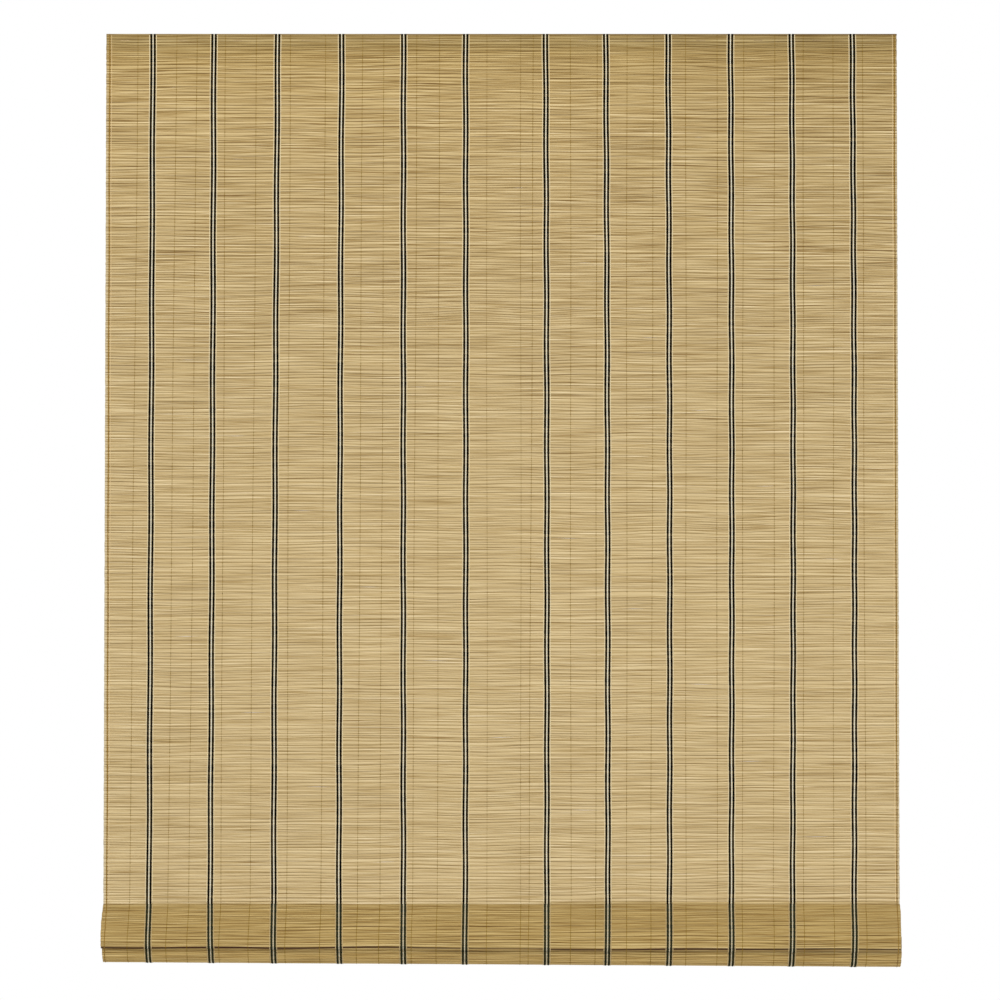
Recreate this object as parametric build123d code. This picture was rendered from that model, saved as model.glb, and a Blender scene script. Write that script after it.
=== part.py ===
from build123d import *
import math
import os

# Rattan roll-up blind, hung on a wall and let down, with its last turns on the bottom pole.
# Millimetres. X runs to the right as the room sees it, Y towards the wall, Z up.
# The origin is the centre of the four wall screw holes, on the wall's face.

# Reed mat
mat_width = 900.0
mat_y = -36.0
mat_top = 43.0
mat_foot = -945.5
mat_half = 1.4
groove_half = 0.75
plain_half = 1.2
reed_count = 300
seam_gap = 0.15
reed_pitch = (mat_top - mat_foot) / reed_count

# Gaps where two neighbouring reeds stand apart
gap_count = 32
gap_height = 0.7
gap_short = 22.0
gap_long = 40.0

# Roll at the bottom
roll_z = -990.5
pole_radius = 12.5
pole_length = 896.0
turn_pitch = 3.2
first_turn = pole_radius + mat_half + 0.1
turn_count = 3.06
ridged_turns = 1.1
free_end_angle = 20.0

# Lap of the mat over the front of the roll
lap_radius = 27.8
lap_lean = 39.0
lip_angle = -11.5

# Warp bands: the spacing is as uneven as on the real mat
band_x = [-398.1, -328.8, -256.5, -183.4, -111.6, -41.2, 50.1, 118.9, 189.2, 259.9, 328.9, 398.4]
dark_offset = 1.9
dark_width = 2.4
white_width = 1.3
cream_offset = 3.7
cream_width = 1.1
cord_height = 0.6

# Thin warps between the bands, and the selvedge threads
thin_x = [-418.5, -375.4, -350.5, -316.4, -283.6, -242.7, -203.0, -162.2, -136.1, -99.8, -72.6, -14.7, 21.5,
          34.0, 79.4, 106.6, 142.9, 171.3, 208.7, 245.0, 274.5, 309.6, 342.5, 376.6, 411.7]
thin_width = 0.5
thin_height = 0.3
selvedge_inset = 3.5
selvedge_width = 1.6
selvedge_height = 0.5
field_margin = 8.0

# Head batten
batten_length = 894.0
batten_depth = 18.0
batten_height = 22.0
batten_ease = 1.5
batten_front = mat_y + mat_half
batten_back = batten_front + batten_depth
batten_foot = mat_top - batten_height

# Wall brackets
sheet = 2.0
bracket_x = 390.0
bracket_width = 20.0
bracket_foot = -21.0
bracket_reach = 33.0
bend_radius = 4.0
foot_corner = 4.0
front_corner = 3.0
wall_hole_radius = 2.5
wall_hole_z = 9.0
batten_screw_y = -26.0

# Screws and staples
screw_radius = 1.5
screw_hole = 1.75
screw_head_radius = 3.0
screw_head = 1.6
screw_length = 13.0
staple_z = mat_top - 7.5
staple_crown = 10.0
staple_wire = 0.6
staple_leg = 9.0

# Cord guides under the batten
guide_y = (batten_front + batten_back) / 2
cheek = 2.0
sheave_radius = 8.0
sheave_groove = 2.0
sheave_rim = 1.2
sheave_z = 5.5
pin_radius = 1.5
pin_proud = 0.5
running_gap = 0.05
side_gap = 0.3
screw_ear = 11.0
plate_corner = 2.5
pulley_x = -290.0
pulley_gap = 8.0
pulley_half = 10.0
pulley_corner = 9.0
lock_x = 300.0
lock_gap = 12.0
lock_right = 10.0
lock_left = 7.5
lock_foot = 13.0
lock_corner = 4.0
roller_radius = 3.5
roller_place = (-15.5, -6.5)
roller_slope = 40.0
roller_travel = 4.0


def hanging_path(distance):
    """Point and front normal on the flat mat, measured down from its top edge."""
    return (mat_y, mat_top - distance), (-1.0, 0.0)


def lap_start():
    """Height at which the lap leaves the mat's plane, so that it meets the roll's front smoothly."""
    lean = math.radians(lap_lean)
    touch_y = -lap_radius * math.cos(lean)
    touch_z = roll_z + lap_radius * math.sin(lean)
    return touch_z - touch_y / math.tan(lean)


def lap_path(distance):
    """Point and front normal along the lap: down, leaning forward, then round the roll."""
    lean = math.radians(lap_lean)
    straight = mat_foot - lap_start()
    slope = lap_radius * math.cos(lean) / math.sin(lean)
    if distance < straight:
        return (mat_y, mat_foot - distance), (-1.0, 0.0)
    distance -= straight
    if distance < slope:
        y = mat_y - distance * math.sin(lean)
        z = lap_start() - distance * math.cos(lean)
        return (y, z), (-math.cos(lean), math.sin(lean))
    angle = lean - (distance - slope) / lap_radius
    y = mat_y - lap_radius * math.cos(angle)
    z = roll_z + lap_radius * math.sin(angle)
    return (y, z), (-math.cos(angle), math.sin(angle))


def lap_length():
    """Length of the lap from the hanging mat to its lip."""
    lean = math.radians(lap_lean)
    straight = mat_foot - lap_start()
    slope = lap_radius * math.cos(lean) / math.sin(lean)
    return straight + slope + lap_radius * (lean - math.radians(lip_angle))


def roll_radius(turned):
    """Radius of the roll's middle layer line after an angle turned from its inner end."""
    return first_turn + turn_pitch * turned / (2 * math.pi)


def roll_point(turned):
    """Point and outward normal on the spiral, which ends under the lap at its free end."""
    angle = math.radians(free_end_angle) - turned_total() + turned
    radius = roll_radius(turned)
    out = (-math.cos(angle), math.sin(angle))
    return (mat_y + radius * out[0], roll_z + radius * out[1]), out


def turned_total():
    """Whole angle of the spiral in radians."""
    return turn_count * 2 * math.pi


def offset(place, normal, amount):
    """Point of the section moved along its normal."""
    return (0, place[0] + normal[0] * amount, place[1] + normal[1] * amount)


def reed_outline(path, stops, plain=0):
    """Closed outline of a run of reeds, with a crest and a groove for each on both faces.

    The first reeds may be plain: they lie inside the roll, where neither face can be seen.
    """
    front = []
    back = []
    for index, (start, end) in enumerate(zip(stops, stops[1:])):
        ridges = ((0.0, plain_half),) if index < plain else ((0.0, groove_half), (0.5, mat_half))
        for share, half in ridges:
            place, normal = path(start + share * (end - start))
            front.append(offset(place, normal, half))
            back.append(offset(place, normal, -half))
    place, normal = path(stops[-1])
    front.append(offset(place, normal, groove_half))
    back.append(offset(place, normal, -groove_half))
    return front + back[::-1]


def prism(points, width, centre=0.0):
    """Solid of an outline in the YZ plane, extruded along X about a centre."""
    face = make_face(Polyline(*points, close=True))
    return Pos(centre, 0, 0) * extrude(face, width / 2, dir=(1, 0, 0), both=True)


def strip(path, stops, lift, height, width, centre):
    """Flat cord that lies on a run of reeds and follows the path's bends."""
    low = []
    high = []
    for stop in stops:
        place, normal = path(stop)
        low.append(offset(place, normal, lift))
        high.append(offset(place, normal, lift + height))
    return prism(low + high[::-1], width, centre)


def block(x0, x1, y0, y1, z0, z1):
    """Box between two corners."""
    return Pos((x0 + x1) / 2, (y0 + y1) / 2, (z0 + z1) / 2) * Box(x1 - x0, y1 - y0, z1 - z0)


def rod(x, y, z, radius, length, axis):
    """Cylinder that starts at a point and runs along +Y or +Z."""
    turn = Rot(-90, 0, 0) if axis == "y" else Rot(0, 0, 0)
    return Pos(x, y, z) * turn * Cylinder(radius, length, align=(Align.CENTER, Align.CENTER, Align.MIN))


def even_stops(first, last, count):
    """Evenly spaced stops along a path."""
    return [first + (last - first) * index / count for index in range(count + 1)]


def fields():
    """Left and right edge of each field of bare reeds between two bands."""
    edge = mat_width / 2 - selvedge_inset
    middles = [-edge] + band_x + [edge]
    return [(left + field_margin, right - field_margin) for left, right in zip(middles, middles[1:])]


def staple_places():
    """Middle of the widest run of bare reeds in each field."""
    places = []
    for left, right in fields():
        stops = [left] + [x for x in thin_x if left < x < right] + [right]
        runs = [(end - start, (start + end) / 2) for start, end in zip(stops, stops[1:])]
        places.append(max(runs)[1])
    return places


def reed_mat():
    """Hanging mat: ridged on both faces, with gaps between some neighbouring reeds."""
    drop = mat_top - mat_foot
    stops = even_stops(0.0, drop - seam_gap, reed_count)
    mat = prism(reed_outline(hanging_path, stops), mat_width)
    golden = (math.sqrt(5) - 1) / 2
    gaps = []
    spans = fields()[1:-1]
    for index in range(gap_count):
        row = 14 + round((reed_count - 24) * (index + 0.5) / gap_count)
        left, right = spans[(index * 4) % len(spans)]
        length = gap_short + (gap_long - gap_short) * ((index * golden) % 1.0)
        room = right - left - length
        start = left + room * ((index * golden * golden * 7) % 1.0)
        z = mat_top - stops[row]
        low = z - gap_height / 2
        gaps.append(block(start, start + length, mat_y - 3, mat_y + 3, low, low + gap_height))
    return mat.cut(*gaps)


def mat_lap():
    """Lower run of the mat that leans forward over the roll and ends in a lip."""
    length = lap_length()
    reeds = round(length / reed_pitch)
    return prism(reed_outline(lap_path, even_stops(seam_gap, length, reeds)), mat_width)


def rolled_mat():
    """Turns of the mat on the pole, as one spiral of reeds."""
    stops = [0.0]
    while stops[-1] < turned_total():
        stops.append(stops[-1] + reed_pitch / roll_radius(stops[-1]))
    scale = turned_total() / stops[-1]
    stops = [stop * scale for stop in stops]
    inside = sum(1 for stop in stops if stop < turned_total() - ridged_turns * 2 * math.pi)
    return prism(reed_outline(roll_point, stops, inside), mat_width)


def hanging_strips(centre, width, height):
    """One warp on the front of the hanging mat, and its twin on the back below the batten."""
    foot = mat_foot + seam_gap
    front = mat_y - mat_half
    back = mat_y + mat_half
    half = width / 2
    return [
        block(centre - half, centre + half, front - height, front, foot, mat_top),
        block(centre - half, centre + half, back, back + height, foot, batten_foot - sheet),
    ]


def lap_stops():
    """Stops for a cord on the lap: at its bends, and close together round the roll."""
    length = lap_length()
    lean = math.radians(lap_lean)
    straight = mat_foot - lap_start()
    slope = lap_radius * math.cos(lean) / math.sin(lean)
    return [seam_gap, straight] + even_stops(straight + slope, length, 3)


def wall_bracket(x):
    """Bent steel angle: a long leg against the wall and a short one under the batten."""
    top = batten_foot
    half = bracket_width / 2
    angle = block(-half, half, -sheet, 0, bracket_foot, top)
    angle += block(-half, half, -bracket_reach, 0, top - sheet, top)
    outside = angle.edges().filter_by(Axis.X).sort_by_distance((0, 0, top))[0]
    angle = fillet(outside, bend_radius)
    inside = angle.edges().filter_by(Axis.X).sort_by_distance((0, -sheet, top - sheet))[0]
    angle = fillet(inside, bend_radius - sheet)
    lower = angle.edges().filter_by(Axis.Y).group_by(Axis.Z)[0]
    angle = chamfer(lower, foot_corner)
    front = angle.edges().filter_by(Axis.Z).group_by(Axis.Y)[0]
    angle = chamfer(front, front_corner)
    for z in (wall_hole_z, -wall_hole_z):
        angle -= rod(0, -sheet - 1, z, wall_hole_radius, sheet + 2, "y")
    angle -= rod(0, batten_screw_y, top - sheet - 1, screw_hole, sheet + 2, "z")
    return Pos(x, 0, 0) * angle


def wood_screw(x, y, seat):
    """Flat-topped screw driven upwards, with its head under the seat."""
    head = rod(x, y, seat - screw_head, screw_head_radius, screw_head, "z")
    return head + rod(x, y, seat, screw_radius, screw_length, "z")


def staple(x):
    """Flat wire staple that holds the mat to the batten, its crown sunk between two reeds."""
    half = staple_crown / 2
    wire = staple_wire
    face = mat_y - groove_half - 0.2
    crown = block(x - half, x + half, face - wire, face, staple_z - wire / 2, staple_z + wire / 2)
    tip = batten_front + staple_leg
    left = block(x - half, x - half + wire, face - wire, tip, staple_z - wire / 2, staple_z + wire / 2)
    right = block(x + half - wire, x + half, face - wire, tip, staple_z - wire / 2, staple_z + wire / 2)
    return crown + left + right


def sheave(x, z, gap):
    """Small flanged wheel on a pin along Y, wide enough for the cords that run over it."""
    half = gap / 2 - side_gap
    lane = half - sheave_rim
    floor = sheave_radius - sheave_groove
    bore = pin_radius + running_gap
    points = [(bore, -half), (sheave_radius, -half), (sheave_radius, -lane), (floor, -lane)]
    points += [(radius, -place) for radius, place in reversed(points)]
    wheel = revolve(make_face(Polyline(*points, close=True)), Axis.Y)
    return Pos(x, guide_y, z) * wheel


def guide_pin(x, z, gap):
    """Plain pin pressed through both cheeks."""
    reach = gap / 2 + cheek + pin_proud
    return rod(x, guide_y - reach, z, pin_radius, 2 * reach, "y")


def screw_places(low_x, high_x):
    """Middle of the plate's ear at either end."""
    return low_x - screw_ear / 2, high_x + screw_ear / 2


def housing(low_x, high_x, gap, cheeks):
    """Moulded U-shaped guide: a screw plate under the batten and two cheeks cut from one outline."""
    depth = gap + 2 * cheek
    top = batten_foot
    front = guide_y - depth / 2
    plate = block(low_x - screw_ear, high_x + screw_ear, front, front + depth, top - cheek, top)
    plate = chamfer(plate.edges().filter_by(Axis.Z), plate_corner)
    body = plate
    for y in (front, guide_y + gap / 2):
        body += Pos(0, y, 0) * cheeks
    for x in screw_places(low_x, high_x):
        body -= rod(x, guide_y, top - cheek - 1, screw_hole, cheek + 2, "z")
    return body


def cheek_plate(corners, radius):
    """One cheek: a flat outline in the XZ plane with its lower corners rounded."""
    points = [(x, 0, z) for x, z in corners]
    plate = extrude(make_face(Polyline(*points, close=True)), cheek, dir=(0, 1, 0))
    lower = plate.edges().filter_by(Axis.Y).group_by(Axis.Z)[0]
    return fillet(lower, radius)


def pulley_housing():
    """Housing of the plain pulley on the left."""
    low_x, high_x = pulley_span()
    top = batten_foot - cheek
    foot = sheave_z - pulley_half
    cheeks = cheek_plate([(low_x, top), (high_x, top), (high_x, foot), (low_x, foot)], pulley_corner)
    cheeks -= rod(pulley_x, -1, sheave_z, pin_radius, cheek + 2, "y")
    return housing(low_x, high_x, pulley_gap, cheeks)


def pulley_span():
    """Left and right side of the pulley's cheeks."""
    return pulley_x - pulley_half, pulley_x + pulley_half


def lock_span():
    """Left and right side of the lock's cheeks."""
    return roller_centre()[0] - lock_left, lock_x + lock_right


def roller_centre():
    """Centre of the lock's roller at the foot of its slots."""
    return lock_x + roller_place[0], sheave_z + roller_place[1]


def lock_housing():
    """Housing of the cord lock on the right, with a sloping slot in each cheek for the roller."""
    x, z = roller_centre()
    top = batten_foot - cheek
    low_x, high_x = lock_span()
    right_foot = (high_x, sheave_z - lock_right)
    left_foot = (low_x, sheave_z - lock_foot)
    cheeks = cheek_plate([(low_x, top), (high_x, top), right_foot, left_foot], lock_corner)
    cheeks -= rod(lock_x, -1, sheave_z, pin_radius, cheek + 2, "y")
    slope = math.radians(roller_slope)
    slot_half = pin_radius + running_gap
    far = (x + roller_travel * math.cos(slope), z + roller_travel * math.sin(slope))
    slot = rod(x, -1, z, slot_half, cheek + 2, "y") + rod(far[0], -1, far[1], slot_half, cheek + 2, "y")
    middle = ((x + far[0]) / 2, (z + far[1]) / 2)
    slot += Pos(middle[0], cheek / 2, middle[1]) * Rot(0, -roller_slope, 0) * Box(
        roller_travel, cheek + 2, 2 * slot_half)
    return housing(low_x, high_x, lock_gap, cheeks - slot)


def lock_roller():
    """Roller that pinches the cord, with a trunnion in each slot."""
    x, z = roller_centre()
    width = lock_gap - 2 * side_gap
    barrel = rod(x, guide_y - width / 2, z, roller_radius, width, "y")
    reach = lock_gap / 2 + cheek
    return barrel + rod(x, guide_y - reach, z, pin_radius, 2 * reach, "y")


def group(solids):
    """Separate solids of one kind, kept side by side in one node."""
    return Compound(children=[solid for solid in solids])


def head_batten():
    """Wooden batten behind the top of the mat, with its long edges eased."""
    half = batten_length / 2
    bar = block(-half, half, batten_front, batten_back, batten_foot, mat_top)
    long_back = bar.edges().filter_by(Axis.X).group_by(Axis.Y)[-1]
    return chamfer(long_back, batten_ease)


def bottom_pole():
    """Round wooden pole that the mat is wound on."""
    return Pos(0, mat_y, roll_z) * Rot(0, 90, 0) * Cylinder(pole_radius, pole_length)


def save(name, shape):
    """Write one node."""
    shape.label = name
    export_step(shape, f"parts/{name}.step")


os.makedirs("parts", exist_ok=True)

save("reed_mat", reed_mat())
save("mat_lap", mat_lap())
save("rolled_mat", rolled_mat())
save("head_batten", head_batten())
save("bottom_pole", bottom_pole())

# Warp bands on the hanging mat
for number, centre in enumerate(band_x, start=1):
    dark = []
    pale = hanging_strips(centre, white_width, cord_height)
    for side in (-1, 1):
        dark += hanging_strips(centre + side * dark_offset, dark_width, cord_height)
        pale += hanging_strips(centre + side * cream_offset, cream_width, cord_height)
    save(f"warp_dark_{number:02d}", group(dark))
    save(f"warp_pale_{number:02d}", group(pale))

# Thin warps and selvedge threads
thin = []
for place in thin_x:
    thin += hanging_strips(place, thin_width, thin_height)
save("fine_warps", group(thin))
selvedge = mat_width / 2 - selvedge_inset
save("edge_thread_left", group(hanging_strips(-selvedge, selvedge_width, selvedge_height)))
save("edge_thread_right", group(hanging_strips(selvedge, selvedge_width, selvedge_height)))

# The bands where they run on over the lap
lap_dark = []
for centre in band_x:
    for side in (-1, 1):
        place = centre + side * dark_offset
        lap_dark.append(strip(lap_path, lap_stops(), mat_half, cord_height, dark_width, place))
save("lap_dark_warps", group(lap_dark))
save("lap_pale_warps", group([strip(lap_path, lap_stops(), mat_half, cord_height, white_width, centre)
                              for centre in band_x]))

# Fixings
save("wall_bracket_left", wall_bracket(-bracket_x))
save("wall_bracket_right", wall_bracket(bracket_x))
save("bracket_screws", group([wood_screw(x, batten_screw_y, batten_foot - sheet)
                              for x in (-bracket_x, bracket_x)]))
save("mat_staples", group([staple(x) for x in staple_places()]))

# Cord guides
save("pulley_housing", pulley_housing())
save("pulley_sheave", sheave(pulley_x, sheave_z, pulley_gap))
save("pulley_pin", guide_pin(pulley_x, sheave_z, pulley_gap))
save("lock_housing", lock_housing())
save("lock_sheave", sheave(lock_x, sheave_z, lock_gap))
save("lock_pin", guide_pin(lock_x, sheave_z, lock_gap))
save("lock_roller", lock_roller())
guide_screws = []
for low_x, high_x in (pulley_span(), lock_span()):
    for x in screw_places(low_x, high_x):
        guide_screws.append(wood_screw(x, guide_y, batten_foot - cheek))
save("guide_screws", group(guide_screws))
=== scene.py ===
import math

import bpy
import numpy as np
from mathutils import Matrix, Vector


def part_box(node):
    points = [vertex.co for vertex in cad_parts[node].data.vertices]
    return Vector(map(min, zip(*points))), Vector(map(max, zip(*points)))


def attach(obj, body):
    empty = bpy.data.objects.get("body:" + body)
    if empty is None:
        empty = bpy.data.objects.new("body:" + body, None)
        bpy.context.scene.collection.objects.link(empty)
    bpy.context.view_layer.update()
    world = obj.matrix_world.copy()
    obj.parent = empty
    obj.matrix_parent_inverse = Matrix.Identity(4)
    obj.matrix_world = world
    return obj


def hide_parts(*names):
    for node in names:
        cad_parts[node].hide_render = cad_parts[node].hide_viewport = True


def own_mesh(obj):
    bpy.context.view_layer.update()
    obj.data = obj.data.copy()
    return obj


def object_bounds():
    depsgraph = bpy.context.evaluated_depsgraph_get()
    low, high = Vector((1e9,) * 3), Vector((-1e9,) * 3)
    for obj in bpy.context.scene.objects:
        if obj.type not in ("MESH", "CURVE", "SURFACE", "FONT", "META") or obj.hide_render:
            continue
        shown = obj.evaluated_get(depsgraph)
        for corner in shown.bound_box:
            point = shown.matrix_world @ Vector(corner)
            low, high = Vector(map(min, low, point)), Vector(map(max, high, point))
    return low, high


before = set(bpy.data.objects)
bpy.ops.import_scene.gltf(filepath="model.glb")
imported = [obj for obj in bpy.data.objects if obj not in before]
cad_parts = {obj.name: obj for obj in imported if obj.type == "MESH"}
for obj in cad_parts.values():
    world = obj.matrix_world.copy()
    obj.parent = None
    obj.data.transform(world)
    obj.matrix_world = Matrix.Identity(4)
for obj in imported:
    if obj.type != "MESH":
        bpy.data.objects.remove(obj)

cad_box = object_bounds()

# A woven reed roll-up blind, dressed over its CAD nodes. Lengths are metres unless a comment says otherwise
MM = 0.001

# Sizes from the frame
mat_low, mat_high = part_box("reed_mat")
lap_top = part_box("mat_lap")[1].z
pole_low, pole_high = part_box("bottom_pole")
batten_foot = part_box("head_batten")[0].z
half_width = mat_high.x
mat_y = (mat_low.y + mat_high.y) / 2
mat_top = mat_high.z
mat_foot = mat_low.z
hanging_length = mat_top - mat_foot
roll_z = (pole_low.z + pole_high.z) / 2
pole_radius = (pole_high.z - pole_low.z) / 2

# The lap leans forward over the roll
lap_radius = 27.8 * MM
lap_lean = math.radians(39.0)
lip_angle = math.radians(-11.5)
lap_bend = 9 * MM
lap_beyond = 12 * MM
lap_points = 900
lap_settled = 0.6

# The lap spreads a little below the hanging mat and creeps to the left. Its lip falls to the right and waves
lap_spread = 0.8 * MM
lap_left = 0.9 * MM
creep_from = 8 * MM
creep_over = 20 * MM
lip_fall = 2.0 * MM
lip_waves = 0.35 * MM
lip_reach = 0.09

# The roll is a spiral, a little looser at the right and pressed a little flat underneath
turn_pitch = 3.2 * MM
first_turn = pole_radius + 1.5 * MM
turned_total = 3.06 * 2 * math.pi
spiral_points = 2000
free_end = math.radians(20.0)
loose_right = 3.2 * MM
roll_flat = 0.055
roll_shift = 0.1 * MM

# Reeds: their sections and ends. The ends' unevenness is in millimetres
reed_count = 300
reed_pitch = hanging_length / reed_count
reed_half = (mat_high.y - mat_low.y) / 2
reed_stations = 49
section_points = 8
squareness = 0.62
collar = 0.4 * MM
least_step = 0.05 * MM
end_uneven = 0.35
overlap = 0.02 * MM
thickness = (0.8, 0.97)
thickness_limit = 0.985
thickness_waves = 0.03
thickness_reach = 0.09

# Reeds: how their widths differ, how the seams between them wander, and what smooth random curves are made of
width_spread = 0.24
taper_range = (0.02, 0.16)
wander_keep = 0.9
wander_step = 0.26 * MM
wander_reach = 0.08
straight_rows = 4
wave_parts = 7
wave_paces = (0.25, 1.4)

# Reeds: how their colours differ. A row's own tone is added at the top and the foot, and at the lip as a
# painted highlight
tone_spread = 0.02
tone_waves = 0.03
tone_reach = 0.06
row_spread = 0.012
top_tones = (0.25, 0.12)
foot_tones = (0.05, 0.14)
lip_highlight = 0.25
run_step = 0.7 * MM

# Gaps between reeds, where the solids have them. Lengths along X are in millimetres
gap_open = 0.3 * MM
gap_count = 32
gap_short = 22.0
gap_long = 40.0
field_margin = 8.0
first_gap_row = 14
rows_without_gaps = 24

# Light through the mat by depth below its top, and the share that its last row loses along X, in millimetres
light_depth = np.array([0, 14, 22, 40, 60, 105, 175, 310, 540, 770, 1000]) * MM
light_share = [0.0, 0.02, 0.1, 0.25, 0.36, 0.5, 0.62, 0.8, 0.93, 1.0, 1.04]
last_row_height = 3 * MM
caught_x = [-450, -300, -100, 50, 60, 300, 450]
caught_share = [0.1, 0.3, 0.0, 0.1, 0.75, 0.8, 0.3]

# Painted light and shade: brightness of the mat by depth below its top, and what its top right corner loses
painted_brightness_depth = np.array([0, 12, 17, 24, 60, 100, 150, 330, 420, 550, 770, 900, 985]) * MM
painted_brightness_share = [0.75, 0.77, 0.84, 0.97, 1.0, 0.99, 0.97, 0.955, 0.955, 0.98, 0.985, 0.985, 1.0]
corner_depth = 170 * MM
corner_painted_shade = 0.08

# Painted brightness of the lap, and of the roll, with a painted shadow just under the lip and brighter
# towards its foot
lap_painted_level = 0.98
roll_painted_level = 1.05
foot_extra = 0.12
foot_from = 0.4
foot_over = 0.15

# The darker top edge and the painted shade of the stapled groove, in millimetres below the top, and how dark
# they are
edge_reach = 1.9
edge_dark = 0.42
edge_dark_right = 0.2
groove_at = 7.6
groove_half = 0.9
groove_dark = 0.35

# Painted shade line of the lip's crease along X, in millimetres: its height above the lip's edge, half its
# width and how dark it is
crease_x = [-450, -300, -115, 35, 60, 260, 450]
crease_line = [0.95, 1.6, 2.25, 2.55, 1.7, 2.9, 3.85]
crease_half = [0.95, 1.0, 0.9, 0.75, 0.75, 0.8, 0.65]
crease_depth = [1.0, 1.0, 0.9, 0.6, 1.0, 1.0, 0.85]
no_crease = 9.0

# Painted shade below the crease along X, and of the seam where the lap leaves the hanging mat, in millimetres
lip_x = [-450, -20, 30, 70, 300, 450]
lip_dark = [0.0, 0.1, 0.25, 0.42, 0.44, 0.5]
lip_soft = 0.8
lap_seam_reach = 1.8
lap_seam_dark = 0.12

# Places along X, in millimetres: the bands at the mat's top, middle and foot and at the lip, the thin warps
# at the mat's top and foot, and the selvedge threads
band_stops = (0.0, 0.47, 1.0)
band_top = [-396.7, -327.4, -254.7, -181.7, -111.4, -40.9, 50.2, 118.7, 189.5, 260.7, 330.1, 399.2]
band_middle = [-397.4, -327.9, -256.6, -183.1, -111.4, -40.5, 51.4, 120.1, 190.6, 261.2, 330.8, 400.2]
band_foot = [-398.3, -329.2, -257.4, -183.7, -110.8, -41.0, 51.1, 120.2, 189.7, 259.6, 328.7, 398.5]
band_lip = [-397.9, -327.3, -256.7, -182.7, -110.6, -41.5, 50.8, 119.1, 188.7, 258.7, 326.8, 396.9]
thin_top = [-413.7, -369.8, -346.4, -314.0, -278.7, -240.4, -200.5, -158.0, -133.5, -96.1, -70.7, -16.9,
            21.9, 36.5, 78.5, 108.7, 142.7, 173.3, 209.8, 245.5, 275.5, 310.9, 343.6, 377.7, 410.8]
thin_foot = [-420.3, -376.8, -353.1, -317.1, -284.3, -242.8, -203.8, -162.5, -137.4, -100.7, -72.7, -16.2,
             21.9, 31.0, 78.4, 106.3, 141.4, 168.8, 208.4, 243.5, 271.8, 307.4, 341.4, 375.2, 411.6]
selvedge_x = [-445.9, 447.0]
thin_creep = 1

# Cords: offsets from the band's middle, widths, how proud they stand and how deep their undersides lie
dark_offset = 1.95 * MM
dark_width = 2.85 * MM
dark_proud = 0.6 * MM
white_width = 1.2 * MM
white_proud = 0.9 * dark_proud
cream_offset = 3.9 * MM
cream_width = 1.1 * MM
cream_proud = 0.7 * dark_proud
cord_points = 5
few_points = 4
band_sunk = 0.7 * MM
band_sway = 0.25 * MM
turned_sunk = 0.5 * MM
thin_width = 0.65 * MM
thin_proud = 0.24 * MM
thin_sunk = 0.6 * MM
thin_sway = 0.35 * MM
faint_warps = (11, 12)
faint_share = 0.6
selvedge_width = 1.9 * MM
selvedge_proud = 0.5 * MM
selvedge_sunk = 0.5 * MM
selvedge_sway = 0.2 * MM
selvedge_turned = 0.6
honey_inset = 2.1 * MM
honey_width = 0.8 * MM
honey_proud = 0.3 * MM
back_start = mat_top - batten_foot + 3 * MM

# Cords: how fast they sway and dip down the mat, in radians a metre
band_pace = 37
thin_pace = 9
dip_pace = 170
dip_beat = 61
selvedge_pace = 31
honey_pace = 27


def srgb(red, green, blue):
    """Linear colour of three 0 to 255 display values."""
    def linear(value):
        value /= 255
        return value / 12.92 if value <= 0.04045 else ((value + 0.055) / 1.055) ** 2.4
    return (linear(red), linear(green), linear(blue), 1.0)


# Nodes

def new_material(name):
    """Empty node material with its Principled shader."""
    material = bpy.data.materials.new(name)
    material.use_nodes = True
    nodes = material.node_tree.nodes
    return material, nodes, material.node_tree.links, nodes["Principled BSDF"]


def attribute(nodes, name):
    """Output of a mesh attribute."""
    node = nodes.new("ShaderNodeAttribute")
    node.attribute_name = name
    return node.outputs["Fac"]


def math_node(nodes, links, operation, first, second):
    """Result of one operation on numbers or sockets."""
    node = nodes.new("ShaderNodeMath")
    node.operation = operation
    for socket, value in zip(node.inputs, (first, second)):
        if isinstance(value, (int, float)):
            socket.default_value = value
        else:
            links.new(value, socket)
    return node.outputs[0]


def noise(nodes, links, scale, detail=3.0, rough=0.55, place=None, move=0.0):
    """Noise over the object's own coordinates, with a scale for each axis, moved along the second axis."""
    if place is None:
        place = nodes.new("ShaderNodeTexCoord").outputs["Object"]
    mapping = nodes.new("ShaderNodeMapping")
    mapping.inputs["Scale"].default_value = scale
    mapping.inputs["Location"].default_value = (0.0, move, 0.0)
    links.new(place, mapping.inputs["Vector"])
    texture = nodes.new("ShaderNodeTexNoise")
    texture.inputs["Scale"].default_value = 1.0
    texture.inputs["Detail"].default_value = detail
    texture.inputs["Roughness"].default_value = rough
    links.new(mapping.outputs["Vector"], texture.inputs["Vector"])
    return texture.outputs["Fac"]


def ramp(nodes, links, factor, stops):
    """Colour ramp through (position, colour) stops."""
    node = nodes.new("ShaderNodeValToRGB")
    elements = node.color_ramp.elements
    elements[0].position, elements[0].color = stops[0]
    elements[1].position, elements[1].color = stops[-1]
    for position, colour in stops[1:-1]:
        elements.new(position).color = colour
    links.new(factor, node.inputs["Fac"])
    return node.outputs["Color"]


def mix(nodes, links, kind, factor, first, second):
    """Mix of two colours."""
    node = nodes.new("ShaderNodeMix")
    node.data_type = "RGBA"
    node.blend_type = kind
    node.clamp_factor = False
    sockets = [node.inputs[0], node.inputs[6], node.inputs[7]]
    for socket, value in zip(sockets, (factor, first, second)):
        if isinstance(value, (int, float, tuple)):
            socket.default_value = value
        else:
            links.new(value, socket)
    return node.outputs[2]


def bump(nodes, links, height, distance, shader, strength=1.0):
    """Bump on a shader's normal."""
    node = nodes.new("ShaderNodeBump")
    node.inputs["Strength"].default_value = strength
    node.inputs["Distance"].default_value = distance
    links.new(height, node.inputs["Height"])
    links.new(node.outputs["Normal"], shader.inputs["Normal"])


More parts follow.
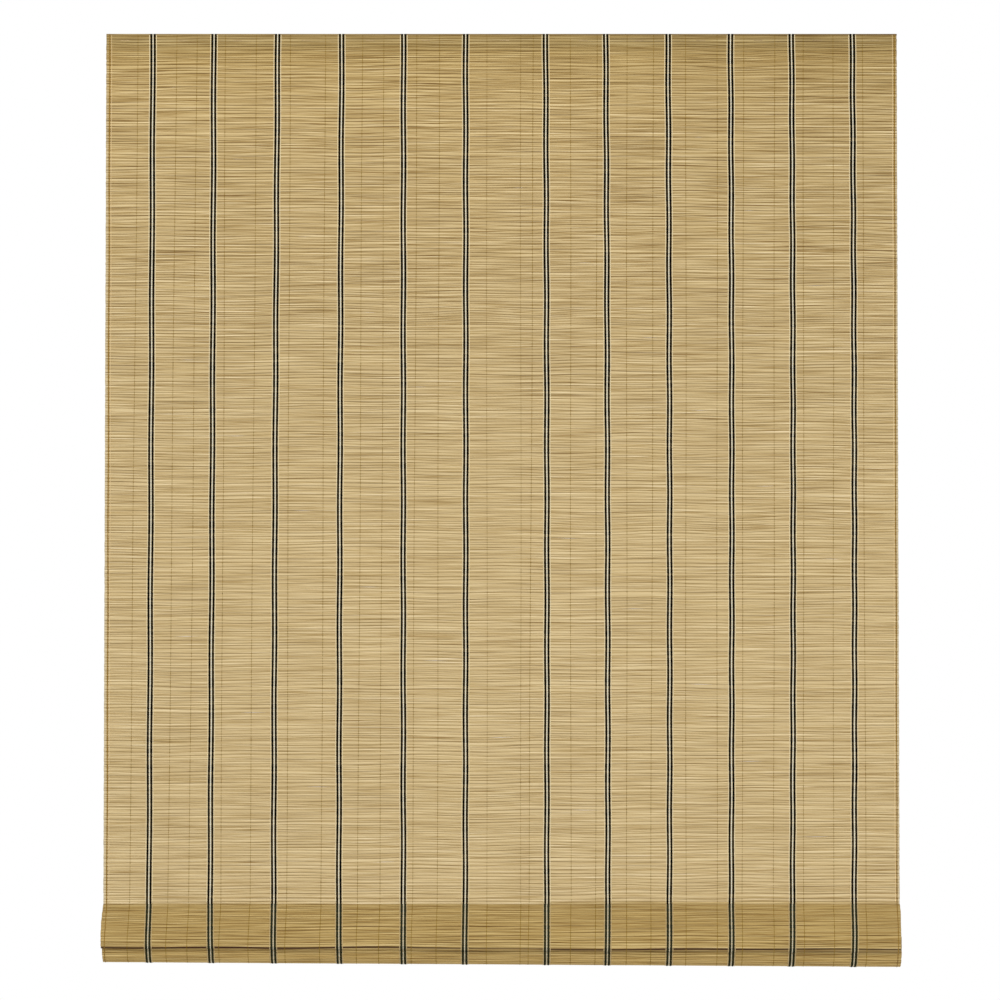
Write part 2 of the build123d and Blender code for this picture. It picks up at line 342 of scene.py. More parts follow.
def map_range(nodes, links, value, start, end, low, high):
    """A value taken from between start and end to between low and high."""
    node = nodes.new("ShaderNodeMapRange")
    for label, number in (("From Min", start), ("From Max", end), ("To Min", low), ("To Max", high)):
        node.inputs[label].default_value = number
    links.new(value, node.inputs["Value"])
    return node.outputs["Result"]


def rough_from(nodes, links, factor, low, high, shader):
    """Roughness between two values."""
    links.new(map_range(nodes, links, factor, 0.0, 1.0, low, high), shader.inputs["Roughness"])


# Materials

# Reed: scales of its streaks along X and across the reeds, and how much each adds to the tone
streak_scale = (4.0, 600.0, 1.0)
split_scale = (22.0, 780.0, 1.0)
patch_scale = (8.0, 60.0, 1.0)
fibre_scale = (60.0, 5200.0, 1.0)
hair_scale = (10.0, 410.0, 3.0)
streak_depth = 0.95
split_depth = 1.15
patch_depth = 0.05
fibre_depth = 0.25
beside = 1.1

# Reed: its colours are calmer where light comes through, and its ends are pale there
calm_light = (0.75, 0.95)
calm_low = 0.7
end_reach = 2.4 * MM
end_pale = 0.4
seam_power = 3.0
seam_noise = (0.42, 0.66)
seam_amount = (0.04, 0.95)
crease_soft = (0.6, 1.4)
reed_stops = [
    (0.0, srgb(122, 92, 46)),
    (0.25, srgb(174, 148, 98)),
    (0.5, srgb(202, 179, 132)),
    (0.72, srgb(217, 196, 151)),
    (1.0, srgb(240, 222, 184)),
]
# Colour of the painted shade on the lip's crease and the other shaded lines, and of the darker top edge
painted_shade_brown = srgb(46, 13, 0)
end_grey = srgb(204, 194, 168)
# Painted shade in the seams between reeds
seam_shade_brown = srgb(104, 72, 30)
# Painted shade where no light comes through from behind, and no change where light does
backed_shade_tint = (0.76, 0.69, 0.483, 1.0)
lit_tint = (1.0, 1.0, 1.0, 1.0)

# Cords: scale of their slanting strands
strand_scale = 260.0
fuzz_scale = (1800.0, 1800.0, 900.0)


def reed_grain(nodes, links, split, fibre, place):
    """Streaks, splits, patches and fibres as one change of tone. Half of the neighbouring streaks and splits
    is taken off them, which keeps them narrow."""
    streak = noise(nodes, links, streak_scale, 1.0, 0.6, place)
    beside_streak = noise(nodes, links, streak_scale, 1.0, 0.6, place, beside)
    beside_split = noise(nodes, links, split_scale, 1.0, 0.6, place, beside)
    patch = noise(nodes, links, patch_scale, 2.0, 0.5, place)
    parts = [(streak, streak_depth), (beside_streak, -0.5 * streak_depth), (split, split_depth),
             (beside_split, -0.5 * split_depth), (patch, patch_depth), (fibre, fibre_depth)]
    total = 0.0
    for part, amount in parts:
        share = math_node(nodes, links, "MULTIPLY_ADD", part, amount)
        share.node.inputs[2].default_value = -amount / 2
        total = math_node(nodes, links, "ADD", total, share)
    return total


def reed_material():
    """Split reed: fibres and streaks along each reed, and brown painted shade in the seams between
    neighbours.
    """
    material, nodes, links, shader = new_material("reed")
    light = attribute(nodes, "light")
    position = nodes.new("ShaderNodeSeparateXYZ")
    links.new(nodes.new("ShaderNodeTexCoord").outputs["Object"], position.inputs[0])
    flat = nodes.new("ShaderNodeCombineXYZ")
    links.new(position.outputs["X"], flat.inputs["X"])
    links.new(attribute(nodes, "run"), flat.inputs["Y"])
    place = flat.outputs[0]

    # Tone along and across the reed
    split = noise(nodes, links, split_scale, 1.0, 0.6, place)
    fibre = noise(nodes, links, fibre_scale, 2.0, 0.6, place)
    calm = map_range(nodes, links, light, *calm_light, 1.0, calm_low)
    grain = reed_grain(nodes, links, split, fibre, place)
    grain = math_node(nodes, links, "MULTIPLY", grain, calm)
    tone = math_node(nodes, links, "ADD", attribute(nodes, "tone"), grain)
    colour = ramp(nodes, links, tone, reed_stops)

    # Painted shade in the seams between reeds, broken by a noise of its own
    edge = math_node(nodes, links, "POWER", attribute(nodes, "seam"), seam_power)
    hair = noise(nodes, links, hair_scale, 1.0, 0.5, place)
    edge = math_node(nodes, links, "MULTIPLY", edge, map_range(nodes, links, hair, *seam_noise, *seam_amount))
    edge = math_node(nodes, links, "MULTIPLY", edge, calm)
    colour = mix(nodes, links, "MIX", edge, colour, seam_shade_brown)

    # Painted light from behind, and the painted light and shade of the place
    tint = mix(nodes, links, "MIX", light, backed_shade_tint, lit_tint)
    tint = mix(nodes, links, "MULTIPLY", 1.0, tint, attribute(nodes, "painted_brightness"))
    colour = mix(nodes, links, "MULTIPLY", 1.0, colour, tint)

    # Pale ends
    ends = math_node(nodes, links, "ABSOLUTE", position.outputs["X"], 0.0)
    ends = math_node(nodes, links, "GREATER_THAN", ends, half_width - end_reach)
    ends = math_node(nodes, links, "MULTIPLY", ends, math_node(nodes, links, "MULTIPLY", light, end_pale))
    colour = mix(nodes, links, "MIX", ends, colour, end_grey)

    # Painted shade of the lip's crease and the other shaded lines, and the darker top edge
    crease = math_node(nodes, links, "ABSOLUTE", attribute(nodes, "crease"), 0.0)
    crease = map_range(nodes, links, crease, *crease_soft, 1.0, 0.0)
    crease = math_node(nodes, links, "MULTIPLY", crease, attribute(nodes, "crease_depth"))
    shade = math_node(nodes, links, "MAXIMUM", attribute(nodes, "shade"), crease)
    colour = mix(nodes, links, "MIX", shade, colour, painted_shade_brown)
    links.new(colour, shader.inputs["Base Color"])
    rough_from(nodes, links, fibre, 0.5, 0.74, shader)
    shader.inputs["Specular IOR Level"].default_value = 0.14
    bump(nodes, links, split, 0.2 * MM, shader, 0.6)
    return material


def cord_material(name, low, high, depth=0.16 * MM, sheen=0.15, gloss=0.2):
    """Twined cotton: slanting strands and a soft, fuzzy surface."""
    material, nodes, links, shader = new_material(name)
    wave = nodes.new("ShaderNodeTexWave")
    wave.wave_type = "BANDS"
    wave.bands_direction = "DIAGONAL"
    wave.inputs["Scale"].default_value = strand_scale
    wave.inputs["Distortion"].default_value = 1.2
    wave.inputs["Detail"].default_value = 1.0
    links.new(nodes.new("ShaderNodeTexCoord").outputs["Object"], wave.inputs["Vector"])
    fuzz = noise(nodes, links, fuzz_scale, 3.0, 0.6)
    strands = math_node(nodes, links, "MULTIPLY", wave.outputs["Fac"], 0.6)
    blend = math_node(nodes, links, "ADD", strands, math_node(nodes, links, "MULTIPLY", fuzz, 0.5))
    links.new(ramp(nodes, links, blend, [(0.1, low), (0.95, high)]), shader.inputs["Base Color"])
    rough_from(nodes, links, fuzz, 0.75, 0.95, shader)
    shader.inputs["Specular IOR Level"].default_value = gloss
    shader.inputs["Sheen Weight"].default_value = sheen
    bump(nodes, links, blend, depth, shader, 0.7)
    return material


def wood_material(name, dark, pale, grain=(9.0, 420.0, 420.0)):
    """Planed softwood with grain along X."""
    material, nodes, links, shader = new_material(name)
    rings = noise(nodes, links, grain, 5.0, 0.6)
    pores = noise(nodes, links, (60.0, 3500.0, 3500.0), 2.0, 0.6)
    both = math_node(nodes, links, "MULTIPLY", rings, 0.75)
    both = math_node(nodes, links, "ADD", both, math_node(nodes, links, "MULTIPLY", pores, 0.25))
    links.new(ramp(nodes, links, both, [(0.32, dark), (0.62, pale)]), shader.inputs["Base Color"])
    rough_from(nodes, links, rings, 0.5, 0.75, shader)
    bump(nodes, links, both, 0.15 * MM, shader, 0.5)
    return material


def metal_material(name, dark, pale, metallic, low, high):
    """Metal or paint with fine rolling marks and slightly uneven gloss."""
    material, nodes, links, shader = new_material(name)
    marks = noise(nodes, links, (350.0, 350.0, 4200.0), 4.0, 0.6)
    cloud = noise(nodes, links, (90.0, 90.0, 90.0), 3.0, 0.5)
    links.new(ramp(nodes, links, cloud, [(0.3, dark), (0.7, pale)]), shader.inputs["Base Color"])
    shader.inputs["Metallic"].default_value = metallic
    rough_from(nodes, links, marks, low, high, shader)
    bump(nodes, links, marks, 0.03 * MM, shader, 0.4)
    return material


def plastic_material(name, dark, pale):
    """Moulded plastic with a fine spark-eroded texture."""
    material, nodes, links, shader = new_material(name)
    grain = noise(nodes, links, (1500.0, 1500.0, 1500.0), 2.0, 0.5)
    cloud = noise(nodes, links, (120.0, 120.0, 120.0), 2.0, 0.5)
    links.new(ramp(nodes, links, cloud, [(0.3, dark), (0.7, pale)]), shader.inputs["Base Color"])
    rough_from(nodes, links, grain, 0.38, 0.55, shader)
    bump(nodes, links, grain, 0.05 * MM, shader, 0.4)
    return material


# Paths: arrays of distance in, and (y, z, front normal y, front normal z) out

def hanging_path(distance, x):
    """The flat mat, measured down from its top edge. It is alike at every x."""
    zero = np.zeros_like(distance)
    return mat_y + zero, mat_top - distance, zero - 1, zero


def lap_table():
    """Heading along the lap, integrated into points: down, forward, then round the roll's front."""
    slope = lap_radius * math.cos(lap_lean) / math.sin(lap_lean)
    touch_z = roll_z + lap_radius * math.sin(lap_lean)
    turn_z = touch_z + slope * math.cos(lap_lean)
    straight = lap_top - turn_z
    length = straight + slope + lap_radius * (lap_lean - lip_angle)
    stops = np.linspace(0, length + lap_beyond, lap_points)
    lean_in = np.clip((stops - straight + lap_bend / 2) / lap_bend, 0, 1)
    heading = lap_lean * lean_in - np.clip((stops - straight - slope) / lap_radius, 0, None)
    step = np.diff(stops)
    middle = (heading[1:] + heading[:-1]) / 2
    y = mat_y - np.concatenate([[0], np.cumsum(np.sin(middle) * step)])
    z = lap_top - np.concatenate([[0], np.cumsum(np.cos(middle) * step)])
    return stops, y, z, heading, length


lap_stops, lap_ys, lap_zs, lap_headings, lap_length = lap_table()


def lap_path(distance, x):
    """The lap, measured down from the hanging mat. It stands further out where the roll is looser."""
    heading = np.interp(distance, lap_stops, lap_headings)
    out_y, out_z = -np.cos(heading), np.sin(heading)
    share = np.clip(distance / (lap_length * lap_settled), 0, 1)
    out = loose_right * x / half_width * share ** 2 * (3 - 2 * share)
    y = np.interp(distance, lap_stops, lap_ys)
    z = np.interp(distance, lap_stops, lap_zs) + np.clip(-distance, 0, None)
    return y + out * out_y, z + out * out_z, out_y, out_z


spiral_turned = np.linspace(0, turned_total, spiral_points)
spiral_length = first_turn * spiral_turned + turn_pitch * spiral_turned ** 2 / (4 * math.pi)
outer_start = np.interp(turned_total - 2 * math.pi, spiral_turned, spiral_length)


def roll_path(distance, x):
    """The spiral of the roll, measured from its inner end. Its weight presses it a little flat underneath."""
    turned = np.interp(distance, spiral_length, spiral_turned)
    angle = free_end - turned_total + turned
    radius = first_turn + turn_pitch * turned / (2 * math.pi)
    radius = radius + loose_right * x / half_width * turned / turned_total
    out_y, out_z = -np.cos(angle), np.sin(angle)
    low = 1 - roll_flat * np.clip(-out_z, 0, 1)
    return mat_y + radius * out_y, roll_z + radius * out_z * low, out_y, out_z


def waves(rng, rows, stations, reach):
    """Smooth random curves, one a row, with unit spread and bends about as long as reach."""
    x = np.linspace(-half_width, half_width, stations)
    total = np.zeros((rows, stations))
    for _ in range(wave_parts):
        pace = rng.uniform(*wave_paces, (rows, 1)) * 2 * math.pi / (reach * 2)
        start = rng.uniform(0, 2 * math.pi, (rows, 1))
        total += np.cos(pace * x[None, :] + start)
    return total / math.sqrt(wave_parts / 2)


def seam_lines(rng, count, length, stations):
    """Distances of the seams between reeds, at each station along X: uneven, tapering and a little wavy."""
    width = np.exp(rng.normal(0, width_spread, count))
    taper = rng.uniform(*taper_range, count) * np.where(np.arange(count) % 2, 1, -1)
    x = np.linspace(-1, 1, stations)
    widths = width[:, None] * (1 + taper[:, None] * x[None, :])
    seams = np.concatenate([np.zeros((1, stations)), np.cumsum(widths, axis=0)])
    seams *= length / seams[-1]
    wander = np.zeros((count + 1, stations))
    fresh = waves(rng, count + 1, stations, wander_reach)
    for row in range(1, count + 1):
        wander[row] = wander_keep * wander[row - 1] + wander_step * fresh[row]
    from_end = np.minimum(np.arange(count + 1), count - np.arange(count + 1))
    return seams + wander * np.clip(from_end / straight_rows, 0, 1)[:, None]


# Meshes

def skin(name, grid, body, material, values=None):
    """One mesh of closed tubes: grid holds tubes, rings, points round the ring, and coordinates."""
    tubes, rings, points, _ = grid.shape
    index = np.arange(tubes * rings * points).reshape(tubes, rings, points)
    here, there = index[:, :-1, :], index[:, 1:, :]
    quads = np.stack([here, np.roll(here, -1, 2), np.roll(there, -1, 2), there], axis=-1).reshape(-1, 4)
    caps = np.concatenate([index[:, 0, ::-1], index[:, -1, :]])
    flat = grid.reshape(-1, 3)
    middle = rings // 2
    ring = grid[0, middle]
    outward = ring[0] - ring.mean(0)
    across = np.cross(ring[1] - ring[0], grid[0, min(middle + 1, rings - 1)][0] - ring[0])
    if np.dot(across, outward) < 0:
        quads = quads[:, ::-1]
        caps = caps[:, ::-1]
    mesh = bpy.data.meshes.new(name)
    mesh.vertices.add(len(flat))
    mesh.vertices.foreach_set("co", flat.astype(np.float32).ravel())
    corners = np.concatenate([quads.ravel(), caps.ravel()]).astype(np.int32)
    starts = np.concatenate([np.arange(len(quads)) * 4, len(quads) * 4 + np.arange(len(caps)) * points])
    mesh.loops.add(len(corners))
    mesh.loops.foreach_set("vertex_index", corners)
    mesh.polygons.add(len(starts))
    mesh.polygons.foreach_set("loop_start", starts.astype(np.int32))
    mesh.polygons.foreach_set("use_smooth", np.arange(len(starts)) < len(quads))
    for key, value in (values or {}).items():
        layer = mesh.attributes.new(key, "FLOAT", "POINT")
        each = np.broadcast_to(value, (tubes, rings, points)).astype(np.float32)
        layer.data.foreach_set("value", each.ravel())
    mesh.update(calc_edges=True)
    mesh.validate()
    mesh.materials.append(material)
    piece = bpy.data.objects.new(name, mesh)
    bpy.context.scene.collection.objects.link(piece)
    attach(piece, body)
    return piece


def rises(piece):
    """Gives a piece of the hanging mat a mesh of its own."""
    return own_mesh(piece)


def light_at(depth, x):
    """How much light comes through the hanging mat at a depth, less in its last row."""
    last_row = depth > hanging_length - last_row_height
    caught = np.interp(x / MM, caught_x, caught_share)
    return np.interp(depth, light_depth, light_share) * (1 - caught * last_row)


def no_light(depth, x):
    """No light comes through the lap and the roll, at any x."""
    return 0 * depth


def hanging_painted_brightness(depth, x):
    """Painted light and shade: how brightly the hanging mat shows at a depth, a little less at its top right.
    """
    right = np.clip((x / half_width + 0.1) / 1.1, 0, 1) * np.clip(1.4 - depth / corner_depth, 0, 1)
    return np.interp(depth, painted_brightness_depth, painted_brightness_share) * (1 - corner_painted_shade * right)


def lap_painted_brightness(depth, x):
    """Painted shade: the lap is a little less bright than the mat, alike at every x."""
    return lap_painted_level + 0 * depth


def roll_painted_brightness(depth, x):
    """Painted shadow: the roll is darker just under the lip than towards its foot, alike at every x."""
    angle = free_end - turned_total + np.interp(depth, spiral_length, spiral_turned)
    return roll_painted_level + foot_extra * np.clip((-np.sin(angle) - foot_from) / foot_over, 0, 1)


def hanging_shade(distance, x):
    """A darker top edge, and painted shade in the staples' groove just below it."""
    edge = np.clip(edge_reach - distance / MM, 0, 1) * (edge_dark + edge_dark_right * x / half_width)
    groove = np.clip(1 - np.abs(distance / MM - groove_at) / groove_half, 0, 1) * groove_dark
    return np.maximum(edge, groove)


def above_lip(distance, x):
    """Millimetres from the lip's edge up the lap."""
    return (np.interp(x, x_stations, lap_seams[-1]) - distance) / MM


def lap_shade(distance, x):
    """Painted shade on the lip below its crease, and on the thin seam where the lap leaves the hanging mat.
    """
    line = np.interp(x / MM, crease_x, crease_line)
    lip = np.clip(line + lip_soft - above_lip(distance, x), 0, 1) * np.interp(x / MM, lip_x, lip_dark)
    seam = np.clip(lap_seam_reach - distance / MM, 0, 1) * lap_seam_dark
    return np.maximum(lip, seam)


def lap_crease(distance, x):
    """Place across the painted shade line in the lip's crease, 1 at its edges, and how dark it is."""
    tables = (crease_line, crease_half, crease_depth)
    line, half, depth = [np.interp(x / MM, crease_x, table) for table in tables]
    return (above_lip(distance, x) - line) / half, depth


def collared(seams, x_stations):
    """Seams and stations with one more station close to each end, so that the end caps shade as flat."""
    ends = (x_stations[0] + collar, x_stations[-1] - collar)
    x = np.concatenate([x_stations[:1], ends[:1], x_stations[1:-1], ends[1:], x_stations[-1:]])
    return np.stack([np.interp(x, x_stations, row) for row in seams]), x


def reed_section():
    """Across and outward shares of the points round a reed: a rounded square."""
    turn = (np.arange(section_points) + 0.5) / section_points * 2 * math.pi
    across = np.sign(np.cos(turn)) * np.abs(np.cos(turn)) ** squareness
    outward = np.sign(np.sin(turn)) * np.abs(np.sin(turn)) ** squareness
    return across / np.abs(across).max(), outward / np.abs(outward).max()


def reeds(name, path, seams, x_stations, body, light, painted_brightness, rng, gaps=(), row_tone=None, run_start=0.0,
          shade=None, crease=None, sideways=None):
    """A run of reeds between seam lines, as one mesh of tubes along X."""
    seams, x_stations = collared(seams, x_stations)
    count = len(seams) - 1
    stations = len(x_stations)
    centre = (seams[1:] + seams[:-1]) / 2
    half = (seams[1:] - seams[:-1]) / 2 + overlap
    for place, down in gaps:
        station = int(np.abs(x_stations - place).argmin())
        row = int(np.abs(seams[:, station] - down).argmin())
        if 0 < row < count:
            for neighbour, side in ((row - 1, -1), (row, 1)):
                half[neighbour, station] -= gap_open / 4
                centre[neighbour, station] += side * gap_open / 4
    deep = reed_half * rng.uniform(*thickness, (count, 1)) * np.ones((1, stations))
    deep *= 1 + thickness_waves * waves(rng, count, stations, thickness_reach)
    deep = np.minimum(deep, reed_half * thickness_limit)
    across, outward = reed_section()
    distance = centre[:, :, None] + half[:, :, None] * across
    x = np.broadcast_to(x_stations[None, :, None], distance.shape).copy()
    x[:, 0] += rng.uniform(0, end_uneven, (count, 1)) * MM
    x[:, 1] = np.maximum(x[:, 1], x[:, 0] + least_step)
    x[:, -2] = np.minimum(x[:, -2], x[:, -1] - collar)
    x[:, -1] -= rng.uniform(0, end_uneven, (count, 1)) * MM
    y, z, ny, nz = path(distance, x)
    if sideways is not None:
        x = x + sideways(distance, x)
    lift = deep[:, :, None] * outward
    grid = np.stack([x, y + ny * lift, z + nz * lift], axis=-1)
    tone = 0.5 + tone_spread * rng.normal(0, 1, (count, 1))
    tone = tone + tone_waves * waves(rng, count, stations, tone_reach)
    if row_tone is not None:
        tone = tone + row_tone[:, None]
    creased = (no_crease, 0.0) if crease is None else crease(distance, x)
    values = {
        "tone": tone[:, :, None],
        "seam": np.abs(across)[None, None, :],
        "light": light(centre, x_stations)[:, :, None],
        "run": distance + np.arange(count)[:, None, None] * run_step + run_start,
        "shade": 0.0 if shade is None else shade(distance, x),
        "painted_brightness": painted_brightness(centre, x_stations)[:, :, None],
        "crease": creased[0],
        "crease_depth": creased[1],
    }
    return skin(name, grid, body, materials["reed"], values)


def cord_rings(seam_line, rings_each):
    """Distances of a cord's rings, and 1 for those on a crest: on crests and seams, or on crests only."""
    middle = (seam_line[1:] + seam_line[:-1]) / 2
    if rings_each == 2:
        rows = np.empty(len(seam_line) + len(middle))
        rows[0::2] = seam_line
        rows[1::2] = middle
        return rows, (np.arange(len(rows)) % 2).astype(float)
    return middle, np.ones(len(middle))


def cord_grid(path, rings, crest, x_middle, width, proud, sunk, side, points=cord_points):
    """Rings of points of one cord, on the front (side 1) or the back (side -1) of the reeds."""
    turn = np.linspace(0, math.pi, points - 1)
    sideways = np.concatenate([np.cos(turn) * width / 2, [0.0]])
    rise_share = np.concatenate([np.sin(turn), [0.0]])
    base = reed_half - sunk
    top = reed_half + proud * (0.25 + 0.75 * crest)
    height = base + (top - base)[:, None] * rise_share[None, :]
    y, z, ny, nz = path(rings, x_middle)
    x = x_middle[:, None] + sideways[None, :]
    lift = side * height
    return np.stack([x, y[:, None] + ny[:, None] * lift, z[:, None] + nz[:, None] * lift], axis=-1)


def lap_shift(distance, x):
    """The lap spreads a little where it leaves the hanging mat, and creeps to the left."""
    share = np.clip(distance / lap_length, 0, 1)
    creep = np.clip((distance - creep_from) / creep_over, 0, 1)
    return lap_spread * x / half_width * np.sin(math.pi * share ** 0.6) - lap_left * creep


def drift_at(number, distance):
    """Sideways place of a band along the hanging mat."""
    stops = np.array(band_stops) * hanging_length
    places = np.array([band_top[number], band_middle[number], band_foot[number]]) * MM
    bend = np.polyfit(stops, places, 2)
    return np.polyval(bend, distance)


def join_tubes(name, grids, body, material):
    """Cords as one piece. Those with as many rings as each other are one mesh, and the meshes are joined."""
    same = {}
    for grid in grids:
        same.setdefault(grid.shape[:2], []).append(grid[None])
    made = [skin(f"{name}_{index}" if index else name, np.concatenate(block), body, material)
            for index, block in enumerate(same.values())]
    if len(made) > 1:
        with bpy.context.temp_override(active_object=made[0], selected_editable_objects=made, object=made[0]):
            bpy.ops.object.join()
    return made[0]


def gap_places():
    """Middle of each gap between two reeds, where the solids have one, and its depth below the top."""
    golden = (math.sqrt(5) - 1) / 2
    spans = [(left + field_margin, right - field_margin) for left, right in zip(band_foot, band_foot[1:])]
    places = []
    for index in range(gap_count):
        row = first_gap_row + round((reed_count - rows_without_gaps) * (index + 0.5) / gap_count)
        left, right = spans[(index * 4) % len(spans)]
        length = gap_short + (gap_long - gap_short) * ((index * golden) % 1.0)
        start = left + (right - left - length) * ((index * golden * golden * 7) % 1.0)
        places.append(((start + length / 2) * MM, row * hanging_length / reed_count))
    return places


def seam_line_at(seams, x):
    """The seams' distances at one place along X."""
    place = (x + half_width) / (2 * half_width) * (seams.shape[1] - 1)
    low = int(np.clip(math.floor(place), 0, seams.shape[1] - 2))
    share = place - low
    return seams[:, low] * (1 - share) + seams[:, low + 1] * share


def hanging_cord(number, offset, width, proud, rings_each, back=False):
    """One cord of a band on the hanging mat. At the back it starts below the batten."""
    rings, crest = cord_rings(seam_line_at(hanging_seams, band_foot[number] * MM + offset), rings_each)
    side = 1
    points = cord_points
    if back:
        keep = rings > back_start
        rings, crest = rings[keep], crest[keep]
        side = -1
        points = few_points
    sway = band_sway * np.sin(rings * (band_pace + 3 * number) + number * 1.7)
    middle = drift_at(number, rings) + offset + sway
    return cord_grid(hanging_path, rings, crest, middle, width, proud, band_sunk, side, points)


def thin_cord(index, top_x, foot_x, side):
    """A thin warp that dips between the reeds. At the back (side -1) it has a third of the rings."""
    rings = cord_rings(seam_line_at(hanging_seams, foot_x * MM), 1)[0]
    if side < 0:
        rings = rings[rings > back_start][::3]
    dip = 0.5 + 0.5 * np.sin(rings * dip_pace + index * 2.1) * np.sin(rings * dip_beat + index)
    crest = np.clip(dip * 2.2 - 0.3, -2.0, 1.0)
    sway = thin_sway * np.sin(rings * thin_pace + index * 1.3)
    middle = (top_x + (foot_x - top_x) * rings / hanging_length) * MM + sway
    width = thin_width * (faint_share if index in faint_warps else 1.0)
    return cord_grid(hanging_path, rings, crest, middle, width, thin_proud, thin_sunk, side, few_points)


def selvedge_cord(x, side):
    """A selvedge thread on the front or the back of the hanging mat."""
    rings, crest = cord_rings(seam_line_at(hanging_seams, x), 2)
    if side < 0:
        keep = rings > back_start
        rings, crest = rings[keep], crest[keep]
    middle = x + selvedge_sway * np.sin(rings * selvedge_pace)
    return cord_grid(hanging_path, rings, crest, middle, selvedge_width, selvedge_proud, selvedge_sunk, side,
                     few_points)


def honey_cord(x):
    """The pale warp just inside a selvedge."""
    rings, crest = cord_rings(seam_line_at(hanging_seams, x), 1)
    middle = x + selvedge_sway * np.sin(rings * honey_pace)
    return cord_grid(hanging_path, rings, crest, middle, honey_width, honey_proud, selvedge_sunk, 1,
                     few_points)


def turned_cords(path, seams, body, tag, length_from=-1.0):
    """The bands, thin warps and selvedge threads on the lap or the roll."""
    kinds = {"dark": [], "white": [], "cream": [], "fine": [], "brown": []}
    places = []
    for start, end in zip(band_foot, band_lip):
        for side in (-1, 1):
            places.append(("dark", start, end, side * dark_offset, dark_width, dark_proud))
            places.append(("cream", start, end, side * cream_offset, cream_width, cream_proud))
        places.append(("white", start, end, 0.0, white_width, white_proud))
    for x in thin_foot:
        places.append(("fine", x, x - thin_creep, 0.0, thin_width, thin_proud))
    for x in selvedge_x:
        width, proud = selvedge_turned * selvedge_width, selvedge_turned * selvedge_proud
        places.append(("brown", x, x - thin_creep, 0.0, width, proud))
    for kind, start, end, offset, width, proud in places:
        rings, crest = cord_rings(seam_line_at(seams, end * MM), 2)
        keep = rings > length_from
        rings, crest = rings[keep], crest[keep]
        share = np.clip(rings / lap_length, 0, 1)
        middle = (start + (end - start) * share) * MM + offset
        kinds[kind].append(cord_grid(path, rings, crest, middle, width, proud, turned_sunk, 1))
    made = {}
    look = {"dark": "greyed_dark", "white": "grey", "cream": "dull", "fine": "fine", "brown": "brown"}
    for kind, grids in kinds.items():
        made[kind] = join_tubes(f"{tag}_{kind}", grids, body, materials[look[kind]])
    return made


def area_light(name, place, target, size, power):
    """Soft square lamp aimed at a point."""
    data = bpy.data.lights.new(name, "AREA")
    data.shape = "SQUARE"
    data.size = size
    data.energy = power
    lamp = bpy.data.objects.new(name, data)
    bpy.context.scene.collection.objects.link(lamp)
    lamp.location = place
    direction = [a - b for a, b in zip(target, place)]
    lamp.rotation_euler = Vector(direction).to_track_quat("-Z", "Y").to_euler()


# Looks: on the lap and the roll the white and cream cords are copies with painted shade, and the black cords
# are greyer
dark_cotton = {"depth": 0.12 * MM, "sheen": 0.0, "gloss": 0.02}
materials = {
    "reed": reed_material(),
    "dark": cord_material("dark_cord", srgb(3, 2, 1), srgb(13, 13, 6), **dark_cotton),
    "pale": cord_material("pale_cord", srgb(192, 189, 166), srgb(248, 248, 236)),
    "cream": cord_material("cream_cord", srgb(204, 182, 136), srgb(242, 230, 194)),
    "dull": cord_material("shaded_cream_cord", srgb(170, 146, 100), srgb(206, 184, 138)),
    "greyed_dark": cord_material("greyed_dark_cord", srgb(22, 26, 16), srgb(46, 50, 34), **dark_cotton),
    "grey": cord_material("shaded_white_cord", srgb(164, 158, 134), srgb(222, 218, 196)),
    "honey": cord_material("honey_thread", srgb(210, 182, 130), srgb(244, 220, 170)),
    "brown": cord_material("selvedge_thread", srgb(112, 80, 18), srgb(158, 122, 44), gloss=0.05),
    "fine": cord_material("brown_thread", srgb(108, 80, 10), srgb(150, 118, 28), sheen=0.0, gloss=0.05),
    "batten": wood_material("batten_wood", srgb(168, 134, 88), srgb(206, 178, 134)),
    "pole": wood_material("pole_wood", srgb(172, 140, 94), srgb(214, 188, 144), (7.0, 300.0, 300.0)),
    "bracket": metal_material("bracket_paint", srgb(214, 208, 194), srgb(228, 223, 210), 0.0, 0.32, 0.5),
    "screw": metal_material("screw_zinc", srgb(176, 170, 150), srgb(204, 198, 178), 0.95, 0.28, 0.45),
    "staple": metal_material("staple_wire", srgb(120, 100, 70), srgb(150, 130, 96), 0.9, 0.35, 0.5),
    "guide": plastic_material("guide_plastic", srgb(206, 198, 178), srgb(216, 209, 190)),
    "sheave": plastic_material("sheave_plastic", srgb(236, 234, 226), srgb(243, 241, 235)),
    "brass": metal_material("pin_brass", srgb(176, 138, 70), srgb(200, 164, 96), 1.0, 0.2, 0.36),
}

# The hanging mat, in two pieces
rng = np.random.default_rng(41)
hanging_seams = seam_lines(rng, reed_count, hanging_length, reed_stations)
x_stations = np.linspace(-half_width, half_width, reed_stations)
row_tone = row_spread * rng.normal(size=reed_count)
row_tone[2:4] = top_tones
row_tone[-2:] = foot_tones
gaps = gap_places()
half_count = reed_count // 2
upper = reeds("reeds_upper", hanging_path, hanging_seams[:half_count + 1], x_stations, "head", light_at,
              hanging_painted_brightness, rng, gaps, row_tone[:half_count], shade=hanging_shade)
lower = reeds("reeds_lower", hanging_path, hanging_seams[half_count:], x_stations, "head", light_at,
              hanging_painted_brightness, rng, gaps, row_tone[half_count:], run_start=3.0)
for piece in (upper, lower):
    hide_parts("reed_mat")
    rises(piece)

